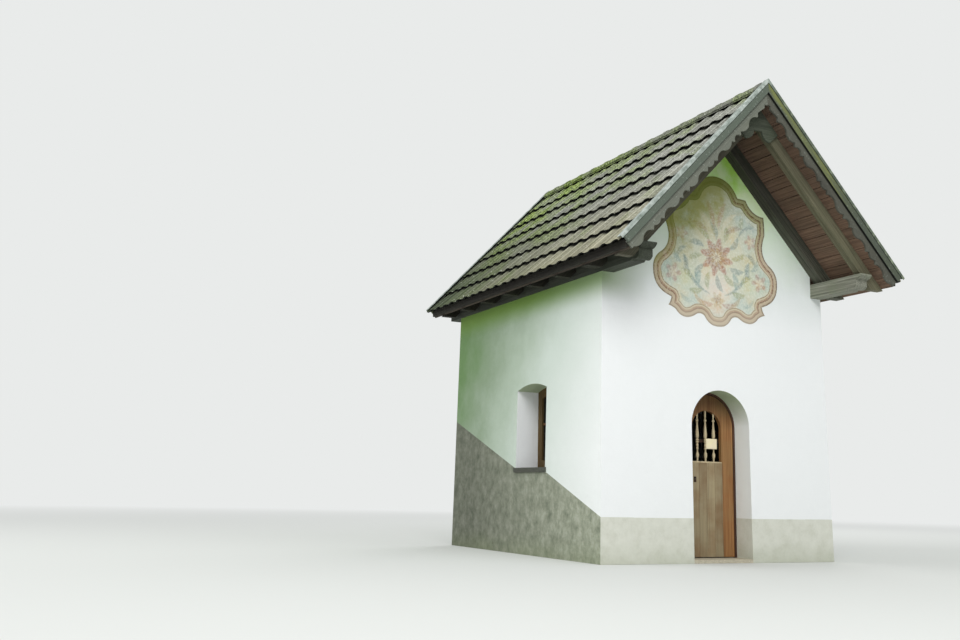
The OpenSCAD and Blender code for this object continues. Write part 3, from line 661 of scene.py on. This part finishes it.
class CHAPEL_OT_door_panel(bpy.types.Operator):
    """Upright boards in the door's lower panel, and the blank card on its grille"""
    bl_idname = "chapel.door_panel"
    bl_label = "Door boards and card"

    def execute(self, context):
        door = context.scene.chapel_door
        lo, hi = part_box("door_boards")
        _, x, depth = share_out(lo.x, hi.x, door.boards, 0.001, hi.y - lo.y, 0.003)
        y = (lo.y + depth)[:, None, :]
        z = np.array([lo.z, hi.z])[None, :, None]
        points, faces = lofts(np.stack(np.broadcast_arrays(x, y, z), axis=-1))
        tone = np.repeat(np.array([0.1, 0.35, 0.0, 0.25, 0.15, 0.3, 0.05, 0.2])[:door.boards], 16)
        # The boards darken towards the left edge with painted shade of the reveal
        wood = timber("weathered larch boards", ALONG_Z, "#8d7f65", context.scene.chapel_colours.door,
                      "#7f6041", 0.75, 14, ("X", -0.21, -0.33, 0.55))
        piece = make_piece("door_panel_boards", points, faces, wood, {"board": tone})
        finish(piece, "door", "door_wood", "door_boards")
        self.hang_card(door, left=-0.004, foot=1.134)
        return {"FINISHED"}

    def hang_card(self, door, left, foot):
        """A thin card whose middle bows out from the balusters by a sine of its width."""
        bow = 0.004
        u, w = np.meshgrid(np.linspace(0, 1, 13), np.linspace(0, 1, 9))
        y = LEAF_Y + 0.002 - bow * np.sin(np.pi * u)
        face = np.stack([left + door.card_w * u, y, foot + door.card_h * w], axis=-1)
        piece = make_piece("blank_card", face, quads(9, 13), card_paper(), closed=False, smooth=True)
        skin = piece.modifiers.new("thickness", "SOLIDIFY")
        skin.thickness = 0.0012
        skin.offset = 0.0
        finish(piece, "door", "turned_wood")


class CHAPEL_OT_window_bars(bpy.types.Operator):
    """Plain wooden cross bars over the panes of both side windows"""
    bl_idname = "chapel.window_bars"
    bl_label = "Window bars"

    def execute(self, context):
        """One bar stands in the pane's middle and one lies across it, a little above half its height."""
        lo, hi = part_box("window_glass")
        inner = min(abs(v.co.x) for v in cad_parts["window_glass"].data.vertices)
        mid_x, mid_y, mid_z = (inner + hi.x) / 2, (lo.y + hi.y) / 2, lo.z + (hi.z - lo.z) * 0.55
        width, depth = 0.026, 0.022
        loop = plank_loop(width, depth, 0.004)
        sections = []
        for side in (-1, 1):
            x = side * (mid_x - depth / 2 + loop[:, 1])
            up = [np.stack([x, mid_y + loop[:, 0], np.full(8, z)], axis=-1) for z in (lo.z, hi.z)]
            across = [np.stack([x, np.full(8, y), mid_z + loop[:, 0]], axis=-1) for y in (lo.y, hi.y)]
            sections += [up, across]
        points, faces = lofts(np.array(sections))
        wood = timber("brown stained sash wood", ALONG_Z, "#3d2716", "#7d5327", "#4a2418", 0.4, 8)
        finish(make_piece("window_cross_bars", points, faces, wood), "chapel", "window_wood")
        return {"FINISHED"}


# Right half of the painted frame's outline, from its crown to its foot: x, z and how far the stretch that
# ends there bulges outwards
PAINTING_HALF = (
    (0.0, 3.994, 0.0), (0.289, 3.797, 0.055), (0.4, 3.789, 0.0), (0.64, 3.632, -0.044), (0.648, 3.43, 0.004),
    (0.612, 3.3, -0.004), (0.72, 3.09, -0.035), (0.806, 2.9, 0.028), (0.65, 2.665, 0.045),
    (0.586, 2.64, 0.0), (0.624, 2.553, -0.006), (0.53, 2.512, -0.006), (0.417, 2.446, 0.014),
    (0.28, 2.487, 0.012), (0.17, 2.475, -0.02), (0.07, 2.39, 0.012), (0.0, 2.382, 0.002))
PAINTING_MIDDLE = (0.0, 3.1)

# The mirrored ornament in it: clouds of colour by x, z, reach across and up, colour and strength
ROSE, BRICK, OCHRE, CREAM = "#ab5f4e", "#7e3f32", "#b89558", "#e6dcc0"
BLUE, SLATE, OLIVE = "#7f9d9d", "#54757c", "#8b9150"
GLOWS = (
    (0.0, 3.62, 0.26, 0.22, "#b3ab6c", 0.75), (0.3, 3.58, 0.2, 0.13, "#a9bfba", 0.8),
    (0.46, 3.36, 0.13, 0.2, "#b0c1b5", 0.8), (0.18, 3.4, 0.12, 0.12, "#d6c796", 0.8),
    (0.0, 3.12, 0.33, 0.3, "#d8cba0", 0.7), (0.44, 3.1, 0.12, 0.1, "#bfb476", 0.6),
    (0.62, 2.92, 0.12, 0.14, "#a5b9ae", 0.85), (0.4, 2.86, 0.13, 0.12, "#c3c898", 0.7),
    (0.0, 2.78, 0.22, 0.17, "#ead9cd", 0.95), (0.3, 2.66, 0.14, 0.1, "#b7c6c0", 0.8),
    (0.5, 2.66, 0.1, 0.08, "#cfc39c", 0.6), (0.0, 2.56, 0.12, 0.08, "#d9bba4", 0.7))
# Garlands and sprays of leaves: x and z of the foot, direction in degrees, length, bend, width, colour and
# strength
LEAVES = (
    (0.1, 2.72, 20, 0.52, 1.2, 0.036, SLATE, 0.64), (0.24, 2.8, 75, 0.17, 1.0, 0.07, BLUE, 0.64),
    (0.33, 2.86, 60, 0.16, -1.0, 0.06, OLIVE, 0.6), (0.2, 2.76, -30, 0.17, 1.0, 0.065, OLIVE, 0.6),
    (0.42, 2.94, 120, 0.17, -1.3, 0.06, SLATE, 0.6), (0.46, 3.02, 20, 0.15, 1.5, 0.06, BLUE, 0.6),
    (0.5, 3.08, 100, 0.16, 1.4, 0.05, SLATE, 0.56), (0.3, 3.38, 60, 0.3, -1.6, 0.036, SLATE, 0.6),
    (0.34, 3.47, 110, 0.13, -1.2, 0.06, OLIVE, 0.56), (0.42, 3.54, -20, 0.12, -1.2, 0.06, BLUE, 0.6),
    (0.03, 3.44, 84, 0.3, -0.5, 0.06, ROSE, 0.52), (0.08, 3.42, 64, 0.27, -0.7, 0.06, CREAM, 0.64),
    (0.12, 3.38, 42, 0.23, -0.8, 0.06, BRICK, 0.45), (0.06, 2.62, -20, 0.2, 1.2, 0.055, ROSE, 0.52),
    (0.16, 2.6, 15, 0.18, 1.0, 0.05, OCHRE, 0.52), (0.34, 2.62, 0, 0.16, 1.2, 0.045, BLUE, 0.52))


def bulged(a, b, sag, n):
    """n points after a on the arc to b: the chord plus a parabola that stands out by sag at its middle."""
    a, b = np.array(a), np.array(b)
    t = np.arange(1, n + 1)[:, None] / n
    out = np.array([-(b - a)[1], (b - a)[0]]) / max(np.hypot(*(b - a)), 1e-9)
    return a + (b - a) * t + out * sag * 4 * t * (1 - t)


def painting_outline():
    """The whole outline as a closed ring of x and z, evenly mirrored, clockwise from the crown."""
    half = [np.array([PAINTING_HALF[0][:2]])]
    for a, b in zip(PAINTING_HALF, PAINTING_HALF[1:]):
        half.append(bulged(a[:2], b[:2], b[2], 18))
    right = np.concatenate(half)
    return np.concatenate([right, right[-2:0:-1] * (-1, 1)])


def stroke_distance(points, line):
    """Distance of each point from a line of points, and the share of the line up to its nearest place."""
    a, b = line[:-1], line[1:]
    step = b - a
    t = ((points[:, None] - a[None]) * step[None]).sum(-1) / np.maximum((step ** 2).sum(-1), 1e-12)[None]
    t = np.clip(t, 0, 1)
    gap = np.hypot(*np.moveaxis(points[:, None] - a[None] - t[..., None] * step[None], -1, 0))
    near = gap.argmin(1)
    k = np.arange(len(points))
    return gap[k, near], (near + t[k, near]) / len(step)


def fresco():
    """Painting in lime on the plaster, long faded: a frame of thin parallel lines round a cloudy pale field.
    The rim attribute is the distance from the outline, and pigment the colour brushed inside it."""
    made, add, here = new_material("faded lime painting", Roughness=0.93, Specular_IOR_Level=0.2)
    at = add("SeparateXYZ", [here]).outputs
    rim = add("Attribute", attribute_name="rim").outputs["Fac"]
    pigment = add("Attribute", attribute_name="pigment").outputs["Color"]
    wobble = add("TexNoise", {"Vector": here, "Scale": per_metre(45), "Detail": 4.0})
    wash = add("TexNoise", {"Vector": here, "Scale": per_metre(170), "Detail": 7.0, "Roughness": 0.66})
    brush = add("TexNoise", {"Vector": here, "Scale": per_metre(22), "Detail": 5.0, "Distortion": 0.6})
    # The field's colour varies from cool to warm, and the brush left it thin in places
    cool = add("ValToRGB", [wash], stops=[(0.35, "#9fb8ad"), (0.5, "#d0d8ca"), (0.62, "#dcca9c")])
    field = add("MixRGB", [0.25, pigment, cool])
    thin = add("MapRange", [brush, 0.44, 0.68, 0.0, 0.6])
    field = add("MixRGB", [thin, field, "#e2e4d8"])
    # The frame's lines, worn here and there and at the foot
    edge = add("MapRange", [wobble, 0.3, 0.7, -0.003, 0.003])
    edge = add("Math", [edge, rim], operation="ADD")
    edge = add("MapRange", [edge, 0.0, 0.105])
    lines = add("ValToRGB", [edge], stops=[
        (0.0, "#b3a991"), (0.05, "#64574a"), (0.12, "#7f705d"), (0.18, "#b9ab93"), (0.40, "#c2b296"),
        (0.46, "#8f7660"), (0.51, "#664d3c"), (0.57, "#a38268"), (0.69, "#b1977d"), (0.75, "#c9bfa2"),
        (0.84, "#cdc4a8"), (0.89, "#7d6851"), (0.95, "#b2a78c")])
    patina = add("MapRange", [brush, 0.4, 0.7, 0.0, 0.6])
    foot = add("MapRange", [at["Z"], 2.74, 2.45, 0.0, 0.55])
    patina = add("Math", [patina, foot], operation="MAXIMUM")
    lines = add("MixRGB", [patina, lines, "#d2c6b4"])
    inside = add("MapRange", [edge, 0.94, 1.0])
    whole = add("MixRGB", [inside, lines, field])
    # Olive algae has run down from the left rake
    damp = add("Math", [at["X"], -0.75], operation="MULTIPLY")
    damp = add("Math", [at["Z"], damp], operation="ADD")
    damp = add("Math", [damp, wash], operation="ADD")
    damp = add("MapRange", [damp, 3.82, 4.42, 0.0, 0.84], interpolation_type="SMOOTHSTEP")
    whole = add("MixRGB", [damp, whole, "#8f9244"])
    # High up, the frame is painted darker and a little greener, as shade under the roof
    high = add("MapRange", [at["Z"], 3.15, 3.6])
    high = add("Math", [high, inside], operation="SUBTRACT", use_clamp=True)
    whole = add("MixRGB", [high, whole, "#cbd8bd"], blend_type="MULTIPLY")
    grit = add("TexNoise", {"Vector": here, "Scale": per_metre(7), "Detail": 2.0})
    return surfaced(made, whole, grit, 0.002)


class CHAPEL_OT_painting(bpy.types.Operator):
    """The painted frame on the front wall and a plain flower ornament in it"""
    bl_idname = "chapel.painting"
    bl_label = "Wall painting"

    def execute(self, context):
        """The outline drawn in towards the middle, ring by ring, on a thin coat that leans with the wall."""
        ring = painting_outline()
        middle = np.array(PAINTING_MIDDLE)
        share = np.concatenate([np.linspace(1, 0.8, 26), np.linspace(0.8, 0.02, 58)[1:]])
        flat = (middle + (ring - middle)[None] * share[:, None, None]).reshape(-1, 2)
        flat = np.concatenate([flat, middle[None]])
        rim, _ = stroke_distance(flat, np.concatenate([ring, ring[:1]]))
        proud = 0.0015
        points = np.column_stack([flat[:, 0], wall_y(flat[:, 1]) - proud, flat[:, 1]])
        n = len(ring)
        k = np.arange(n)
        inner = (len(share) - 1) * n
        fan = np.stack([inner + k, inner + (k + 1) % n, np.full(n, len(points) - 1)], axis=-1)
        faces = quads(len(share), n, wrap=True).tolist() + fan.tolist()
        marks = {"rim": rim, "pigment": self.pigments(flat)}
        piece = make_piece("wall_painting", points, faces, fresco(), marks, closed=False, smooth=True)
        if piece.data.polygons[0].normal.y > 0:
            piece.data.flip_normals()
        coat = piece.modifiers.new("coat", "SOLIDIFY")
        coat.thickness = 0.0012
        coat.offset = -1.0
        finish(piece, "chapel", "lime_plaster")
        return {"FINISHED"}

    def pigments(self, flat):
        """Brushes soft shapes over a pale ground, each laid on by a share that falls off at its edge."""
        paint = np.tile(linear("#d3d9cd"), (len(flat), 1))
        mirrored = np.column_stack([np.abs(flat[:, 0]), flat[:, 1]])

        def lay(share, code):
            share = np.clip(share, 0, 1)[:, None]
            paint[:] = paint * (1 - share) + share * linear(code)

        def glow(place, reach, code, strength):
            """A cloud of colour that falls off with the square of its distance."""
            off = (mirrored - place) / reach
            lay(strength * np.exp(-(off ** 2).sum(-1)), code)

        def leaf(place, angle, reach, bend, width, code, strength, where=mirrored):
            """A stroke, widest at its middle, on a line that turns evenly from its foot to its tip."""
            turn = np.radians(angle) + bend * np.linspace(0, 1, 9)
            step = reach / 8 * np.column_stack([np.cos(turn), np.sin(turn)])
            line = np.array(place) + np.concatenate([[[0, 0]], np.cumsum(step[:-1], axis=0)])
            gap, along = stroke_distance(where, line)
            half = width / 2 * np.sin(np.pi * np.clip(along, 0.03, 0.97)) ** 0.6
            lay(strength * np.clip((half - gap) / 0.012 + 0.5, 0, 1), code)

        def flower(place, reach, petals, code, strength, where=flat, turn=0.0):
            """Round petals: the rim's distance follows a cosine of the turn."""
            off = where - place
            out, angle = np.hypot(off[:, 0], off[:, 1]), np.arctan2(off[:, 1], off[:, 0])
            petal = 0.8 + 0.2 * np.cos(petals * (angle + turn))
            lay(strength * petal * np.clip((reach * petal - out) / 0.02 + 0.5, 0, 1), code)

        for x, z, wide, high, code, strength in GLOWS:
            glow((x, z), (wide, high), code, strength)
        # A ring of leaves round the middle
        for angle in range(0, 360, 30):
            foot = (0.20 * math.cos(math.radians(angle)), 3.12 + 0.20 * math.sin(math.radians(angle)))
            leaf(foot, angle, 0.18, 0.9, 0.065, SLATE if angle % 60 else OLIVE, 0.55, flat)
        for x, z, *drawn in LEAVES:
            leaf((x, z), *drawn)
        for reach, petals, code, strength in (
                (0.21, 8, ROSE, 0.8), (0.15, 16, BRICK, 0.55), (0.105, 8, OCHRE, 0.6),
                (0.055, 12, CREAM, 0.85), (0.03, 6, BRICK, 0.6)):
            flower((0.0, 3.12), reach, petals, code, strength, turn=reach)
        for x, z, size in ((0.56, 2.90, 1.2), (0.45, 3.33, 0.95)):
            flower((x, z), 0.085 * size, 5, ROSE, 0.6, mirrored, 0.6)
            flower((x, z), 0.045 * size, 5, CREAM, 0.7, mirrored)
        flower((0.0, 2.66), 0.09, 6, OCHRE, 0.6)
        flower((0.0, 2.66), 0.05, 6, BRICK, 0.5, turn=0.5)
        return paint


# Finishes by node: name, grain's direction, dark, light and stained colours, how far stained, grain in
# millimetres, painted shade and roughness
TIMBERS = (
    ("door_frame", "red-brown frame wood", ALONG_Z, "#33201a", "#674a3c", "#46342a", 0.3, 8),
    # The leaf is painted darker towards its head, as shade under the arch
    ("door_leaf", "worn varnished larch", ALONG_Z, "#734724", "#ad8052", "#957a50", 0.5, 12,
     ("Z", 1.33, 1.62, 0.4), 0.6),
    ("door_grille", "pale turned lime wood", ALONG_Z, "#a59474", "#dccdaa", "#8f8068", 0.3, 6),
    ("window_frames", "brown stained frame wood", ALONG_Z, "#43361f", "#745e38", "#4e3820", 0.4, 8),
    # The left plate under the eave is painted near black, as shade
    ("wall_plate_left", "black-green plate timber", ALONG_Y, "#262923", "#50544a", "#3d4534", 0.45, 10),
    ("wall_plate_right", "grey plate timber", ALONG_Y, "#5a5b50", "#a2a395", "#6f7a5c", 0.4, 10),
    # The left rafters under the eave are painted near black, as shade
    ("rafters_left", "sooty rafter timber", UP_LEFT_SLOPE, "#171613", "#37332b", "#2c3125", 0.4, 10),
    # The right rafters darken upwards with painted shade
    ("rafters_right", "dark rafter timber", UP_RIGHT_SLOPE, "#2c2c26", "#757567", "#59614d", 0.4, 10,
     ("Z", 3.0, 3.7, 0.4)),
    # The flying rafters darken towards the apex with painted shade
    ("flying_rafter_left", "greyed rafter timber left", UP_LEFT_SLOPE, "#37332a", "#625e4f", "#5f634c", 0.4,
     10, ("Z", 3.5, 4.4, 0.6)),
    ("flying_rafter_right", "greyed rafter timber right", UP_RIGHT_SLOPE, "#454332", "#86826a", "#5f634c",
     0.4, 10, ("Z", 3.5, 4.4, 0.6)),
    ("apex_board", "dark apex board", ALONG_X, "#262a23", "#5d6355", "#454e3c", 0.4, 7),
    # The eave boards' dark brown is deepened to near black, as painted shade under the eave
    ("eave_boards", "black-brown eave board", ALONG_Y, "#1b1916", "#332f29", "#2f3126", 0.5, 8),
)
# Name, grain's direction, clean paint, growth and its spread, and how far it keeps high up
PAINTS = (
    ("bargeboard_left", "chalky carved board", UP_LEFT_SLOPE, "#7b7b70", "#646a58", 0.08),
    ("bargeboard_right", "browned carved board", UP_RIGHT_SLOPE, "#5f594e", "#41413a", 0.3),
    ("front_fascia_left", "grey-green fascia paint", UP_LEFT_SLOPE, "#5a6458", "#69764a", 0.03),
    ("front_fascia_right", "lichened fascia paint", UP_RIGHT_SLOPE, "#40473b", "#8b9144", 0.2, 0.9),
    ("back_fascias", "back fascia paint", ALONG_X, "#7a7d70", "#6f7c4c", 0.1),
)


class CHAPEL_OT_finishes(bpy.types.Operator):
    """Finishes of the walls, timbers, boards, door and ironwork"""
    bl_idname = "chapel.finishes"
    bl_label = "Finishes"

    def execute(self, context):
        colours = context.scene.chapel_colours
        dress(limewash(colours), "front_wall_left", "front_wall_right", "front_wall_over_door", "left_wall",
              "right_wall", "back_wall", "front_gable", "back_gable")
        dress(cement_render(colours), *("plinth_" + side for side in (
            "front_left", "front_right", "left", "right", "back")))
        dress(stone("worn floor slab", "#7d776b", "#a8a194"), "floor_slab")
        dress(stone("rubbed limestone sill", "#a8a08c", "#d3ccb8"), "threshold")
        dress(stone("dark slate sill", "#33352f", "#5d5f56"), "window_sills")
        dress(forged_iron(), "door_lock", "door_hinges", "hinge_pins")
        dress(window_pane(), "window_glass")
        dress(folded_sheet(), "front_caps", "back_caps")
        dress(fired_clay(colours, "mossy ridge clay", 0.05), "ridge_tiles")
        for node, *wood in TIMBERS:
            dress(timber(*wood), node)
        for node, *paint in PAINTS:
            dress(algae_paint(*paint), node)
        return {"FINISHED"}


class CHAPEL_PT_panel(bpy.types.Panel):
    """Lists the steps that dress the chapel"""
    bl_idname = "CHAPEL_PT_panel"
    bl_label = "Small chapel"
    bl_space_type = "VIEW_3D"
    bl_region_type = "UI"
    bl_category = "Chapel"

    def draw(self, context):
        for name in GROUPS:
            group = getattr(context.scene, name)
            box = self.layout.box()
            for key in group.__annotations__:
                box.prop(group, key)
        for step in STEPS:
            self.layout.operator(step.bl_idname)


GROUPS = {"chapel_roof": ChapelRoof, "chapel_door": ChapelDoor, "chapel_colours": ChapelColours}
STEPS = (CHAPEL_OT_stage, CHAPEL_OT_finishes, CHAPEL_OT_tiles, CHAPEL_OT_soffit, CHAPEL_OT_door_panel,
         CHAPEL_OT_window_bars, CHAPEL_OT_painting)


def register():
    for made in (*GROUPS.values(), *STEPS, CHAPEL_PT_panel):
        bpy.utils.register_class(made)
    for name, group in GROUPS.items():
        setattr(bpy.types.Scene, name, bpy.props.PointerProperty(type=group))


def unregister():
    for name in GROUPS:
        delattr(bpy.types.Scene, name)
    for made in (CHAPEL_PT_panel, *STEPS[::-1], *GROUPS.values()):
        bpy.utils.unregister_class(made)


def main():
    register()
    bpy.ops.chapel.stage()
    bpy.ops.chapel.finishes()
    bpy.ops.chapel.tiles()
    bpy.ops.chapel.soffit()
    bpy.ops.chapel.door_panel()
    bpy.ops.chapel.window_bars()
    bpy.ops.chapel.painting()


if __name__ == "__main__":
    main()
